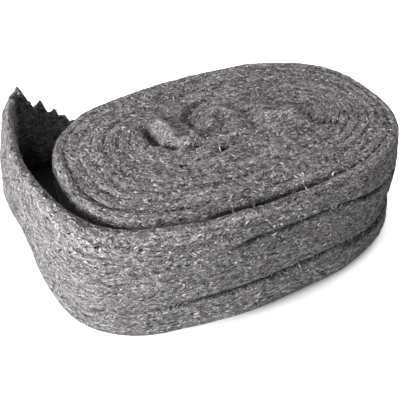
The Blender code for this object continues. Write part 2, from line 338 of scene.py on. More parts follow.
# The groups of strands, which differ in their grey
STRAND_GROUPS = (
    ("bright_strands", (0.52, 0.51, 0.513, 1.0)),
    ("pale_strands", (0.50, 0.488, 0.493, 1.0)),
    ("silver_strands", (0.37, 0.36, 0.365, 1.0)),
    ("grey_strands", (0.22, 0.215, 0.217, 1.0)),
    ("dark_strands", (0.07, 0.068, 0.069, 1.0)),
)
STRAND_METALLIC = 0.35
STRAND_ROUGHNESS = 0.65

# How much each pattern adds to the wool's lightness, how much the painted shade takes away (and adds
# as painted light where it is below 0), and between which values of it the gaps turn into wool and
# the wool into glints
STRANDS_LIGHT = 0.62
GRAIN_LIGHT = 1.3
COMBED_LIGHT = 0.9
PATCH_LIGHT = 0.4
STREAKS_LIGHT = 1.3
PLAIN_LIGHT = 0.12
SHADE_DARK = 0.9
GAP_TO_WOOL = (-0.15, 0.45)
WOOL_TO_GLINT = (0.40, 1.10)

# The wool's sheen: how metallic and how rough it is, how much less rough its strands are, and how
# strongly and deeply its patterns stand out
WOOL_METALLIC = 0.55
WOOL_ROUGHNESS = 0.62
STRANDS_GLOSS = 0.2
BUMP_STRENGTH = 0.9
BUMP_DEPTH = 0.0009

# Camera, from the photograph's viewing angle
CAMERA_PLACE = Vector((-0.1887, -0.3108, 0.3650))
CAMERA_TARGET = Vector((-0.0371, -0.0008, 0.0500))
CAMERA_LENS = 50.25
CAMERA_SHIFT = (0.0326, -0.0249)

# The lamps, each with its place, size, watts and colour, and the room's own light
LAMPS = (
    ("key_lamp", (-1.05, -0.19, 0.36), 0.45, 26.5, (1.0, 0.985, 1.0)),
    ("top_lamp", (0.12, 0.15, 1.1), 0.7, 10.0, (1.0, 0.95, 0.915)),
)
ROOM_LIGHT = 0.12

# The floor: the oval round the roll that shows its shadow, the oval in its gap where a dark shadow is
# painted, each as a centre and two radii in plan and the shares of those between which it fades, the
# floor's colour outside the gap and the painted shadow's colour inside it, and how white it glows
# outside both ovals
FLOOR_HALF_SIDE = 3.0
SHADOW_OVAL = ((0.0, 0.021), (0.175, 0.140))
SHADOW_FADE = (0.85, 1.10)
GAP_SHADOW_OVAL = ((-0.135, 0.092), (0.030, 0.066))
GAP_SHADOW_FADE = (0.88, 1.0)
FLOOR_COLOUR = (0.8, 0.8, 0.8, 1.0)
GAP_SHADOW_COLOUR = (0.01, 0.01, 0.01, 1.0)
WHITE = (1.0, 1.0, 1.0, 1.0)
FLOOR_GLOW = 0.9


def smooth(share):
    """Rises smoothly from 0 to 1 as share goes from 0 to 1."""
    share = min(max(share, 0.0), 1.0)
    return share * share * (3 - 2 * share)


def mix(start, end, share):
    """The value or point at a share of the way from start to end."""
    return start + (end - start) * share


def table_value(table, place, column):
    """Reads a column of a table of rows by their first value, with an even curve between."""
    if place >= table[0][0]:
        return table[0][column]
    for upper, lower in zip(table, table[1:]):
        if place >= lower[0]:
            share = smooth((place - lower[0]) / (upper[0] - lower[0]))
            return mix(lower[column], upper[column], share)
    return table[-1][column]


def within(angle, span):
    """From 0 to 1, how far inside a span of angles an angle is, faded at the span's ends."""
    start, end = span
    return smooth((angle - start) / FOLD_FADE) * smooth((end - angle) / FOLD_FADE)


def smooth_curve(knots):
    """Points along a smooth curve through all knots but the first and the last."""
    points = []
    for before, start, end, after in zip(knots, knots[1:], knots[2:], knots[3:]):
        for i in range(POINTS_PER_KNOT):
            t = i / POINTS_PER_KNOT
            slope = (end - before) * t
            bend = (2 * before - 5 * start + 4 * end - after) * t**2
            turn = (3 * start - 3 * end + after - before) * t**3
            points.append(start + 0.5 * (slope + bend + turn))
    points.append(knots[-2])
    return points


def ripple(place, size, seed):
    """A seeded noise from -1 to 1 whose lumps are about size across."""
    return noise.noise(place / size + Vector((seed * 7.3, seed * 3.1, seed * 11.7)))


class Winding:
    """The course of the strip in plan, worked out from the roll's sizes."""

    def __init__(self, sizes):
        self.width = sizes.strip_width
        self.pitch = sizes.turn_pitch
        self.fold = sizes.fold_half_length
        self.eye = sizes.eye_half_width
        self.last_step = sizes.turns * STEPS_PER_TURN
        self.open_step = self.last_step - STEPS_PER_TURN
        self.roll_reach = self.eye + self.pitch * (sizes.turns - 1)
        self.foot, self.top = (smooth_curve(route) for route in self.loose_routes())
        self.travelled = [0.0]
        for start, end in zip(self.foot, self.foot[1:]):
            self.travelled.append(self.travelled[-1] + (end - start).length)
        self.to_tip = self.travelled[len(self.foot) - 1 - POINTS_PER_KNOT]
        self.torn_run = self.travelled[-1] - self.to_tip

    def angle(self, step):
        """The angle of a step of the winding, spaced so that the steps are of even length."""
        angle = LEAVE_ANGLE + 2 * math.pi * (self.last_step - step) / STEPS_PER_TURN
        return angle - EVENING * (math.sin(4 * angle) - math.sin(4 * LEAVE_ANGLE))

    def drawn_back(self, step):
        """How far the strip's outer face is drawn back at a step, beside the crack."""
        turns_on = (step - self.open_step) / STEPS_PER_TURN
        if step < 0 or turns_on > 0.5:
            return 0.0
        past_widest = (turns_on + 0.5) % 1 - 0.5
        reach_of_crack = CRACK_CLOSES if past_widest > 0 else CRACK_OPENS
        nearness = smooth(1 - abs(past_widest) / reach_of_crack)
        return CRACK_SLACK * nearness * min(1.0, step / self.open_step) ** 2

    def full_reach(self, step):
        """How far the strip's outer face would stand from the fold if it were not drawn back."""
        return self.eye + self.pitch * max(step, 0) / STEPS_PER_TURN

    def reach(self, step):
        """How far the strip's outer face stands from the fold at a step."""
        return self.full_reach(step) - self.drawn_back(step)

    def parted(self, step):
        """From 0 to 1, how far the last turn has parted from the turn inside it at a step."""
        return smooth((step - self.last_step + CRACK_STEPS) / CRACK_STEPS * 2)

    def face_reach(self, step):
        """How far the last turn's inner face stands from the fold, with its share of the crack."""
        below = step - STEPS_PER_TURN
        return self.reach(below) + CRACK_OPEN_SHARE * self.parted(step) * self.drawn_back(below)

    def oval(self, angle, reach, skew=1.0):
        """A point of the winding in plan, at a distance of reach from the fold."""
        exponent = 2 / (OVAL_POWER + CORNER_SQUARENESS * math.cos(angle - SQUAREST_CORNER))
        c, s = math.cos(angle), math.sin(angle)
        along = (self.fold + reach) * math.copysign(abs(c) ** exponent, c)
        across = reach * math.copysign(abs(s) ** exponent, s)
        askew = max(0.0, 1 - reach / self.roll_reach) * skew
        turn = SKEW_ANGLE * askew
        x = along * math.cos(turn) - across * math.sin(turn)
        y = along * math.sin(turn) + across * math.cos(turn)
        return Vector((x, y, 0.0)) + SKEW_SHIFT * askew

    def loose_routes(self):
        """The foot and the top of the loose end's inner face in plan, as two lists of knots."""
        left = -(self.fold + self.roll_reach)
        start_steps = (self.last_step - LEAD_IN_STEPS, self.last_step)
        start = [self.oval(self.angle(step), self.reach(self.open_step)) for step in start_steps]
        foot, top = list(start), list(start)
        for angle, foot_gap, top_gap in CORNER_ROUTE:
            foot.append(self.oval(angle, self.roll_reach + foot_gap))
            top.append(self.oval(angle, self.roll_reach + top_gap))
        for back_share, foot_gap, top_gap in SIDE_ROUTE:
            foot.append(Vector((left - foot_gap, back_share * self.roll_reach, 0.0)))
            top.append(Vector((left - top_gap, back_share * self.roll_reach, 0.0)))
        for foot_x, foot_y, top_x, top_y in END_ROUTE:
            foot.append(Vector((left + foot_x, self.roll_reach + foot_y, 0.0)))
            top.append(Vector((left + top_x, self.roll_reach + top_y, 0.0)))
        for route in (foot, top):
            route.append(route[-1] + (route[-1] - route[-2]))
        return foot, top

    def loose_place(self, distance):
        """Where a distance along the loose end's foot lies on its curves, counted in points."""
        after = min(max(1, bisect.bisect_left(self.travelled, distance)), len(self.foot) - 1)
        run = self.travelled[after] - self.travelled[after - 1]
        return after - 1 + min(1.0, (distance - self.travelled[after - 1]) / run)

    def on_curve(self, points, place):
        """The point at a place on a curve, and the way out from the roll there."""
        i = min(int(place), len(points) - 2)
        near = points[max(0, i - HEADING_SPAN)]
        far = points[min(len(points) - 1, i + 1 + HEADING_SPAN)]
        heading = (far - near).normalized()
        return points[i].lerp(points[i + 1], place - i), Vector((-heading.y, heading.x, 0.0))

    def torn_height(self, torn):
        """The height of the torn edge at a share of its run."""
        if torn <= TORN_EDGE[0][0]:
            return self.width * TORN_EDGE[0][1]
        for (before, low), (after, high) in zip(TORN_EDGE, TORN_EDGE[1:]):
            if torn <= after:
                return self.width * mix(low, high, (torn - before) / (after - before))
        return self.width * TORN_EDGE[-1][1]

    def wall_profile(self, angle, crease_share=1.0):
        """Rows of a height up the wall at an angle, how far out the wall is there and, from 0 to
        1, the painted shade of a crease."""
        turned = angle % (2 * math.pi)
        start, end = CREASE_DESCENT
        front = smooth((end - turned) / (end - start))
        rows = []
        for height_share, bulge, fold, crease, rise in WALL_PROFILE:
            upper = height_share > FOLD_DIVIDE
            fold_span = HIGH_FOLD if upper else LOW_FOLD
            creased = within(turned, HIGH_CREASE if upper else LOW_CREASE) * crease_share
            out = bulge + FOLD_EASE * (fold * within(turned, fold_span) + crease * creased)
            wave = ripple(Vector((WAVER_STRETCH * turned, float(upper), 0.0)), WAVER_SIZE, 15)
            level = height_share + (rise * front + wave * WAVER_SHARE) * creased
            # Painted shade in the creases, darker along the front than at the right end
            shade = creased * mix(END_CREASE_SHADE, 1.0, front) if crease else 0.0
            rows.append((level, out, shade))
        return rows

    def wall_point(self, step, profile, height_share):
        """A point of the last turn's outer face in plan."""
        open_turn = (step - self.open_step) / STEPS_PER_TURN
        bulging = smooth((open_turn - BULGE_FROM) / BULGE_EASE)
        out = table_value(profile, height_share, 1)
        return self.oval(self.angle(step), self.reach(step) + bulging * out)

    def even_steps(self, first, last, spacing):
        """Steps of the winding from first to last, an even distance apart along the strip."""
        fine = 4
        count = int((last - first) * fine)
        steps = [first + i / fine for i in range(count + 1)]
        places = [self.oval(self.angle(s), self.full_reach(s)) for s in steps]
        travelled = [0.0]
        for start, end in zip(places, places[1:]):
            travelled.append(travelled[-1] + (end - start).length)
        stops = max(1, round(travelled[-1] / spacing))
        made, i = [], 0
        for k in range(stops + 1):
            distance = travelled[-1] * k / stops
            while i < count - 1 and travelled[i + 1] < distance:
                i += 1
            run = travelled[i + 1] - travelled[i]
            made.append((steps[i] + (distance - travelled[i]) / run / fine, distance))
        return made


def closed_band(name, sections, distances, places):
    """A closed band of wool: one loop of points and shades for each section, skinned along its
    length. Its UV map holds the distance along the strip and the place round its section, in
    metres, and its shade attribute the painted shade that darkens each point deep between the
    folds of the wool, or painted light where it is below 0."""
    bm = bmesh.new()
    uv_layer = bm.loops.layers.uv.new("strip")
    shade_layer = bm.verts.layers.float.new("shade")
    last, around = len(sections) - 1, len(sections[0])
    made = bmesh.ops.create_grid(bm, x_segments=last, y_segments=around, size=0.5)
    index = {}
    for vert in made["verts"]:
        index[vert] = (round((vert.co.x + 0.5) * last), round((vert.co.y + 0.5) * around))
    for face in bm.faces:
        for loop in face.loops:
            i, j = index[loop.vert]
            loop[uv_layer].uv = (distances[i], places[j])
    for vert, (i, j) in index.items():
        vert.co, vert[shade_layer] = sections[i][j % around]
    bmesh.ops.remove_doubles(bm, verts=bm.verts, dist=1e-7)
    ends = [edge for edge in bm.edges if edge.is_boundary]
    bmesh.ops.holes_fill(bm, edges=ends)
    bmesh.ops.recalc_face_normals(bm, faces=bm.faces)
    mesh = bpy.data.meshes.new(name)
    bm.to_mesh(mesh)
    bm.free()
    mesh.shade_smooth()
    return mesh


def finish_piece(mesh, material, replaced=False):
    """Adds a mesh to the scene as a piece of the roll."""
    mesh.materials.clear()
    mesh.materials.append(material)
    piece = bpy.data.objects.new(mesh.name, mesh)
    bpy.context.scene.collection.objects.link(piece)
    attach(piece, BODY)
    if replaced:
        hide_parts(CAD_NODE)
    return piece


def hump(place):
    """How far the matted middle rises at a place in plan, from the humps and hollows there."""
    rise = 0.0
    for (x0, y0), (x1, y1), half_width, height in HUMPS:
        start, run = Vector((x0, y0, 0.0)), Vector((x1 - x0, y1 - y0, 0.0))
        offset = Vector((place.x, place.y, 0.0)) - start
        share = min(1.0, max(0.0, offset.dot(run) / run.length_squared))
        away = (offset - run * share).length
        if away < 3 * half_width:
            rise += height * math.exp(-((away / half_width) ** 2))
    return rise


def crumpled(place, middle):
    """Moves a point of the turns' upper edges in plan, as hand-wound wool wanders."""
    flat = Vector((place.x, place.y, 0.0))
    far = mix(*WANDER_SHIFTS, middle)
    wide, narrow = WANDER_SIZES
    shift_x = ripple(flat, wide, 1) * far + ripple(flat, narrow, 2) * far / 2
    shift_y = ripple(flat, wide, 3) * far + ripple(flat, narrow, 4) * far / 2
    return Vector((shift_x, shift_y, 0.0))


def waves(place, kind, seed):
    """How high lumps or waves of a kind stand at a place."""
    size, height = kind
    return ripple(place, size, seed) * height


def roughened(point, outward, strip_place, depth):
    """A point of the surface with the lumps of matted wool added along the way outward."""
    along_strip = Vector((strip_place[0] / STREAK_STRETCH, strip_place[1], 0.0))
    raised = waves(point, COARSE_LUMPS, 5) + waves(point, FINE_LUMPS, 6)
    raised += waves(along_strip, STREAKS, 7) + waves(point, GRAIN, 8)
    return point + outward * (raised * depth)


def seam_openness(place):
    """From 0 to 1, how far the seam between two turns stands open at a place in plan."""
    patch = ripple(Vector((place.x, place.y, 0.0)), SEAM_PATCH, 10)
    return min(1.0, max(0.0, SEAM_OPEN_SHARE + SEAM_VARIES * patch))


def inner_sections(winding, spacing):
    """Loops of points across the strip for all turns but the last."""
    sections, distances = [], []
    for step, distance in winding.even_steps(0.0, winding.open_step, spacing):
        angle = winding.angle(step)
        inner_reach = winding.reach(step - STEPS_PER_TURN) if step > STEPS_PER_TURN else 0.0
        outer_reach = winding.reach(step)
        middle = smooth(1 - (outer_reach - MIDDLE_REACH) / MIDDLE_FADE)
        inner = winding.oval(angle, inner_reach)
        outer = winding.oval(angle, outer_reach)
        low_inner = winding.oval(angle, inner_reach, 0.0)
        low_outer = winding.oval(angle, outer_reach, 0.0)
        starting = smooth(step / STEPS_PER_TURN)
        lip = winding.drawn_back(step) / CRACK_SLACK * winding.parted(step + STEPS_PER_TURN)
        wave = ripple(Vector((distance, step / STEPS_PER_TURN, 0.0)), CREST_WAVE, 9)
        crest_lift = wave * mix(*CREST_LIFTS, middle)
        top = []
        for share in EDGE_SHARES:
            place = inner.lerp(outer, share)
            seam = abs(2 * share - 1)
            outward = max(0.0, 2 * share - 1)
            openness = seam_openness(place)
            groove = mix(*SEAM_DEPTHS, openness) * seam**4 * starting
            groove += lip * LIP_DEPTH * outward**3
            moved = place + crumpled(place, middle)
            raised = hump(moved)
            height = winding.width + crest_lift * (1 - seam**4) + raised - groove
            height += ripple(moved, LUMP_SIZE, 0) * LUMP_HEIGHT * mix(LUMP_SHARE_OUTSIDE, 1.0, middle)
            point = Vector((moved.x, moved.y, height))
            point = roughened(point, Vector((0, 0, 1)), (distance, share * winding.pitch), 1.0)
            # Painted shade at open seams and the crack's lip, painted light on humps and painted
            # shade in hollows
            shade = max(SEAM_SHADE * openness * seam**6 * starting, lip * outward**4)
            top.append((point, shade - raised / HUMP_PER_SHADE))
        # Painted shade: the sides between turns are painted fully dark, and the foot by FOOT_SHADE
        left, right = [], []
        for level in SIDE_LEVELS:
            for side, upper, lower in ((left, top[0], low_inner), (right, top[-1], low_outer)):
                place = lower.lerp(Vector((*upper[0].xy, 0.0)), smooth(level))
                side.append((Vector((place.x, place.y, level * winding.width)), 1.0))
        seam_foot = Vector((0.0, 0.0, FOOT_SEAM_DEPTH * starting))
        foot = [low_inner.lerp(low_outer, share) for share in FOOT_SHARES]
        foot = [low_outer + seam_foot, *foot, low_inner + seam_foot]
        sections.append(top + right + [(point, FOOT_SHADE) for point in foot] + left[::-1])
        distances.append(distance)
    return sections, distances


def section_places(section):
    """The distance round a section's loop at each of its points, and back at the start."""
    places = [0.0]
    for (start, _), (end, _) in zip(section, section[1:] + section[:1]):
        places.append(places[-1] + (end - start).length)
    return places


def outer_sections(winding, spacing):
    """Loops of points across the strip for the last turn and the loose end."""
    sections, distances = [], []
    turn_stops = winding.even_steps(winding.open_step, winding.last_step, spacing)
    start_distance = winding.even_steps(0.0, winding.open_step, spacing)[-1][1]
    for step, distance in turn_stops:
        sections.append(turn_section(winding, step, start_distance + distance))
        distances.append(start_distance + distance)
    root_distance = distances[-1]
    run = winding.travelled[-1]
    far = 0.0
    while far < run:
        far += spacing if far < winding.to_tip - spacing else spacing * TORN_SPACING
        at = min(far, run)
        sections.append(loose_section(winding, at, root_distance + at))
        distances.append(root_distance + at)
    return sections, distances


def face_shares():
    """Heights of the points up a face of the strip, as shares of its rim's height."""
    return [FACE_TOP * i / (FACE_POINTS - 1) for i in range(FACE_POINTS)]


def wandered(point, crest, share):
    """A point near the strip's upper edge, moved in plan as its neighbours are."""
    return point + crumpled(point, 0.0) * (share * smooth(1 - (crest - point.z) / WANDER_FADE))


def dress(inner, outer, rim_points, distance, calm, wound, top_shade=0.0):
    """Roughens a section's faces along its own way out, and closes it into a loop. The points of
    the outer face come with their shades. The inner face gets the share calm of its lumps and
    painted shade that darkens it further down, starting from top_shade, which is painted light
    where it is below 0, and the upper edge wanders by the share wound."""
    crest = inner[-1].z
    inner = [wandered(point, crest, wound) for point in inner]
    outer = [(wandered(point, crest, wound), shade) for point, shade in outer]
    rim_points = [wandered(point, crest, wound) for point in rim_points]
    out = Vector((*(outer[0][0] - inner[0]).xy, 0.0)).normalized()
    dressed_inner, dressed_outer, rim = [], [], []
    for point in inner:
        depth = calm * smooth(point.z / CALM_FOOT)
        # Painted shade deeper down the inner face, painted light at its top where top_shade is below
        # 0
        shade = mix(top_shade, INSIDE_SHADE, smooth((crest - point.z) / INSIDE_SHADE_FADE))
        dressed_inner.append((roughened(point, -out, (distance, point.z), depth), shade))
    for point, shade in outer:
        depth = mix(CALM_FOOT_SHARE, 1.0, smooth(point.z / CALM_FOOT))
        along, up = WALL_WAVE_STRETCH
        waved = point + out * waves(Vector((distance * along, point.z * up, 0.0)), WALL_WAVES, 12)
        dressed_outer.append((roughened(waved, out, (distance, point.z), depth), shade))
    for point in rim_points:
        rim.append((roughened(point, Vector((0, 0, 1)), (distance, point.z), 1.0), 0.0))
    return dressed_inner + rim + dressed_outer[::-1]


def turn_section(winding, step, distance):
    """A loop of points across the last turn."""
    angle = winding.angle(step)
    inner_reach = winding.face_reach(step)
    rim = winding.width - RIM_DROP
    inner_rim = winding.width - mix(SEAM_DROP, CRACK_DROP, winding.parted(step))
    profile = winding.wall_profile(angle)
    # Painted shade: the last turn's wall is darkened deeper down where it faces the gap
    gap_painted_shade = INSIDE_SHADE * smooth(1 - (step - winding.open_step) / GAP_SHADE_STEPS)
    inner, outer = [], []
    for share in face_shares():
        inner_place = winding.oval(angle, inner_reach)
        outer_place = winding.wall_point(step, profile, share)
        depth = (1 - share) * rim
        shade = max(table_value(profile, share, 2), gap_painted_shade * smooth(depth / INSIDE_SHADE_FADE * 2))
        inner.append(Vector((inner_place.x, inner_place.y, share * inner_rim)))
        outer.append((Vector((outer_place.x, outer_place.y, share * rim)), shade))
    rim_points = rim_arc(inner[-1], outer[-1][0], winding.width, distance)
    return dress(inner, outer, rim_points, distance, 1.0, 1.0)


def rim_arc(inner, outer, crest, distance):
    """The points over the strip's upper edge, between the tops of its two faces."""
    points = []
    crest += waves(Vector((distance, 0.3, 0.0)), RIM_WAVES, 13)
    for share in EDGE_SHARES[1:-1]:
        bow = 1 - abs(2 * share - 1) ** (OUTER_BOW if share > 0.5 else INNER_BOW)
        place = inner.lerp(outer, share)
        points.append(Vector((place.x, place.y, mix(place.z, crest, bow))))
    return points


def loose_section(winding, far, distance):
    """A loop of points across the loose end, a distance far from where it leaves the roll."""
    place = winding.loose_place(far)
    foot, foot_out = winding.on_curve(winding.foot, place)
    top, top_out = winding.on_curve(winding.top, place)
    loosened = far / winding.to_tip
    torn = (far - winding.to_tip) / winding.torn_run
    jag = ripple(Vector((far, 0.0, 0.0)), JAG_SIZE, 14) * JAG_HEIGHT * smooth(torn * JAG_EASE)
    crest = max(winding.torn_height(torn) + jag, LOWEST_TEAR)
    torn = max(0.0, torn)
    freed = smooth(loosened) ** RIM_THINS_LATE
    gap = CRACK_OPEN_SHARE * CRACK_SLACK * smooth(1 - far / GAP_FADE)
    band = mix(winding.pitch + CRACK_SLACK, LOOSE_THICKNESS, smooth(loosened)) - gap
    band = mix(band, END_THICKNESS, torn)
    rim_band = mix(band, TORN_RIM_THICKNESS, freed)
    rim = crest - mix(RIM_DROP, TORN_RIM_DROP, freed)
    inner_rim = rim - LEAVING_DROP * (1 - freed)
    profile = winding.wall_profile(LEAVE_ANGLE, smooth(1 - far / CREASE_RUN))
    still_wound = 1 - smooth(far / (BLEND_STEPS * STEP_RUN))
    wound_step = winding.last_step + far / STEP_RUN
    inner, outer = [], []
    for share in face_shares():
        level = share * rim / winding.width
        base = foot.lerp(top, level)
        out = foot_out.lerp(top_out, level).normalized()
        thick = mix(band, rim_band, share**RIM_THINS_HIGH)
        bulge = table_value(profile, share, 1) * (1 - torn)
        inside = base + out * gap
        outside = inside + out * (thick + bulge)
        if still_wound > 0:
            angle = winding.angle(wound_step)
            inside = inside.lerp(winding.oval(angle, winding.face_reach(wound_step)), still_wound)
            outside = outside.lerp(winding.wall_point(wound_step, profile, share), still_wound)
        inner.append(Vector((inside.x, inside.y, share * inner_rim)))
        outer_point = Vector((outside.x, outside.y, share * rim))
        outer.append((outer_point, table_value(profile, share, 2)))
    rim_points = rim_arc(inner[-1], outer[-1][0], crest, distance)
    # Painted light at the top of the loose end's inner face, towards its tip
    top_shade = PANEL_TOP_SHADE * smooth((loosened - PANEL_FROM) / PANEL_EASE)
    calm = mix(1.0, CALM_END_SHARE, torn)
    return dress(inner, outer, rim_points, distance, calm, still_wound, top_shade)


class Value:
    """An output of a shader node, which can be used in sums like a number."""

    def __init__(self, wiring, socket):
        self.wiring = wiring
        self.socket = socket

    def maths(self, operation, *values):
        return self.wiring.node("ShaderNodeMath", {"operation": operation}, list(values))

    def __add__(self, other):
        return self.maths("ADD", self, other)

    def __radd__(self, other):
        return self.maths("ADD", other, self)

    def __sub__(self, other):
        return self.maths("SUBTRACT", self, other)

    def __rsub__(self, other):
        return self.maths("SUBTRACT", other, self)

    def __mul__(self, other):
        return self.maths("MULTIPLY", self, other)

    def __rmul__(self, other):
        return self.maths("MULTIPLY", other, self)

    def __abs__(self):
        return self.maths("ABSOLUTE", self)

    def over(self, other):
        """The greater of the two values."""
        return self.maths("MAXIMUM", self, other)

    def eased(self, low, high):
        """Rises smoothly from 0 to 1 as the value goes from low to high."""
        settings = {"interpolation_type": "SMOOTHSTEP"}
        inputs = {"Value": self, "From Min": low, "From Max": high}
        return self.wiring.node("ShaderNodeMapRange", settings, inputs)


class Wiring:
    """The nodes of one material, or of the world."""

    def __init__(self, tree):
        self.tree = tree
        tree.nodes.clear()

    def node(self, kind, settings=None, inputs=None, output=0):
        """Adds a node of a type, with its settings first and then its inputs' values or links."""
        made = self.tree.nodes.new(kind)
        for name, setting in (settings or {}).items():
            setattr(made, name, setting)
        pairs = inputs.items() if isinstance(inputs, dict) else enumerate(inputs or [])
        for name, value in pairs:
            if isinstance(value, Value):
                self.tree.links.new(value.socket, made.inputs[name])
            else:
                made.inputs[name].default_value = value
        if not made.outputs:
            return None
        return Value(self, made.outputs[output])

    def colour_mix(self, share, first, second):
        """A colour at a share of the way from first to second."""
        made = self.tree.nodes.new("ShaderNodeMix")
        made.data_type = "RGBA"
        for identifier, value in (("Factor_Float", share), ("A_Color", first), ("B_Color", second)):
            socket = next(s for s in made.inputs if s.identifier == identifier)
            if isinstance(value, Value):
                self.tree.links.new(value.socket, socket)
            else:
                socket.default_value = value
        return Value(self, next(s for s in made.outputs if s.identifier == "Result_Color"))

    def moved(self, vector, scale=(1.0, 1.0, 1.0), offset=(0.0, 0.0, 0.0)):
        """A vector scaled along each axis and then shifted."""
        settings = {"operation": "MULTIPLY_ADD"}
        return self.node("ShaderNodeVectorMath", settings, [vector, scale, offset])

    def cloud(self, place, scale, detail, roughness, distortion=0.0):
        """A noise from 0 to 1, with a half as its middle value."""
        inputs = {"Vector": place, "Scale": scale, "Detail": detail, "Roughness": roughness}
        inputs["Distortion"] = distortion
        return self.node("ShaderNodeTexNoise", {"noise_dimensions": "3D"}, inputs)


def strand_lines(wiring, place, size, slimness, seed):
    """Thin curly lines of fibre, where a noise whose lumps are about size across passes its
    middle value."""
    shifted = wiring.moved(place, offset=(seed * 0.37, seed * 0.91, seed * 0.53))
    flow = wiring.cloud(shifted, 1 / size, 1.0, 0.55, 0.35)
    return 1 - abs(flow - 0.5).eased(0.0, slimness)


def wool_material(name, colours):
    """Matted steel fibre: bright curly lines over dark gaps, denser and greyer in patches, darkened
    by painted shade in its folds and lightened by painted light on its humps.
    """
    material = bpy.data.materials.new(name)
    material.use_nodes = True
    wiring = Wiring(material.node_tree)
    place = wiring.node("ShaderNodeTexCoord", output=3)
    strip = wiring.node("ShaderNodeUVMap", {"uv_map": "strip"})
    combed = wiring.moved(strip, (0.42, 1.0, 1.0))

    fine = strand_lines(wiring, place, 0.0024, 0.045, 1)
    finer = strand_lines(wiring, place, 0.0015, 0.06, 2)
    wide = strand_lines(wiring, place, 0.0045, 0.022, 3)
    along = strand_lines(wiring, combed, 0.0022, 0.055, 4)
    strands = fine.over(finer * 0.8).over(wide).over(along * 0.9)

    shade = wiring.node("ShaderNodeAttribute", {"attribute_name": "shade"}, output=2)
    streaks = wiring.cloud(wiring.moved(strip, (0.10, 1.0, 1.0)), 190.0, 2.0, 0.6)
    patch = wiring.cloud(place, 30.0, 3.0, 0.6)
    grain = wiring.cloud(place, 800.0, 2.0, 0.7)
    combed_grain = wiring.cloud(combed, 420.0, 2.0, 0.6)
    lightness = strands * STRANDS_LIGHT + (grain - 0.5) * GRAIN_LIGHT
    lightness = lightness + (combed_grain - 0.5) * COMBED_LIGHT + (patch - 0.5) * PATCH_LIGHT
    lightness = lightness + PLAIN_LIGHT + (streaks - 0.5) * STREAKS_LIGHT
    # Painted shade from the shade attribute darkens the colour, and painted light lightens it where
    # the shade is below 0
    lightness = lightness - shade * abs(shade) * SHADE_DARK

    woolly, glinting = lightness.eased(*GAP_TO_WOOL), lightness.eased(*WOOL_TO_GLINT)
    colour = wiring.colour_mix(woolly, colours.gap_colour, colours.wool_colour)
    colour = wiring.colour_mix(glinting, colour, colours.glint_colour)
    height = strands * 0.6 + grain * 0.8 + combed_grain * 0.5
    inputs = {"Strength": BUMP_STRENGTH, "Distance": BUMP_DEPTH, "Height": height}
    bump = wiring.node("ShaderNodeBump", {}, inputs)
    inputs = {"Base Color": colour, "Metallic": WOOL_METALLIC, "Normal": bump}
    inputs["Roughness"] = WOOL_ROUGHNESS - strands * STRANDS_GLOSS
    shader = wiring.node("ShaderNodeBsdfPrincipled", {}, inputs)
    wiring.node("ShaderNodeOutputMaterial", {}, {"Surface": shader})
    return material


def strand_material(name, colour):
    """Bare drawn steel in one grey."""
    material = bpy.data.materials.new(name)
    material.use_nodes = True
    wiring = Wiring(material.node_tree)
    inputs = {"Base Color": colour, "Metallic": STRAND_METALLIC, "Roughness": STRAND_ROUGHNESS}
    shader = wiring.node("ShaderNodeBsdfPrincipled", {}, inputs)
    wiring.node("ShaderNodeOutputMaterial", {}, {"Surface": shader})
    return material


def straight_strand(bm):
    """One closed three-sided strand with its rings a unit apart, and each vertex's ring and
    angle."""
    height = RINGS - 1
    bmesh.ops.create_cone(bm, cap_ends=True, segments=SIDES, radius1=1.0, radius2=1.0, depth=height)
    long_edges = [e for e in bm.edges if abs(e.verts[0].co.z - e.verts[1].co.z) > 0.5]
    bmesh.ops.subdivide_edges(bm, edges=long_edges, cuts=RINGS - 2)
    layout = []
    for vert in bm.verts:
        layout.append((round(vert.co.z + height / 2), math.atan2(vert.co.y, vert.co.x)))
    return layout


Patch = collections.namedtuple("Patch", "corners normal along")


class Cover:
    """The surface that strands lie on, with the strip's direction on each open patch of it."""

    def __init__(self, pieces):
        bm = bmesh.new()
        for piece in pieces:
            bm.from_mesh(piece.data)
        uv = bm.loops.layers.uv["strip"]
        shade = bm.verts.layers.float["shade"]
        self.tree = BVHTree.FromBMesh(bm)
        self.patches = []
        self.areas = []
        total = 0.0
        for face in bm.faces:
            if len(face.verts) != 4 or face.normal.z < STEEPEST_DOWN:
                continue
            centre = face.calc_center_median()
            shaded = sum(vert[shade] for vert in face.verts) / 4
            if centre.z < BARE_FOOT or shaded > BARE_SHADE:
                continue
            before = centre + face.normal * CLEAR_START
            if self.tree.ray_cast(before, face.normal, CLEAR_ROOM)[0] is not None:
                continue
            loop = max(face.loops, key=lambda l: abs(l.link_loop_next[uv].uv.x - l[uv].uv.x))
            along = (loop.link_loop_next.vert.co - loop.vert.co).normalized()
            corners = [vert.co.copy() for vert in face.verts]
            self.patches.append(Patch(corners, face.normal.copy(), along))
            total += face.calc_area()
            self.areas.append(total)
        bm.free()

    def patch_at(self, share):
        """The patch at a share of the surface's open area, counted along the strip."""
        return self.patches[bisect.bisect_left(self.areas, share * self.areas[-1])]


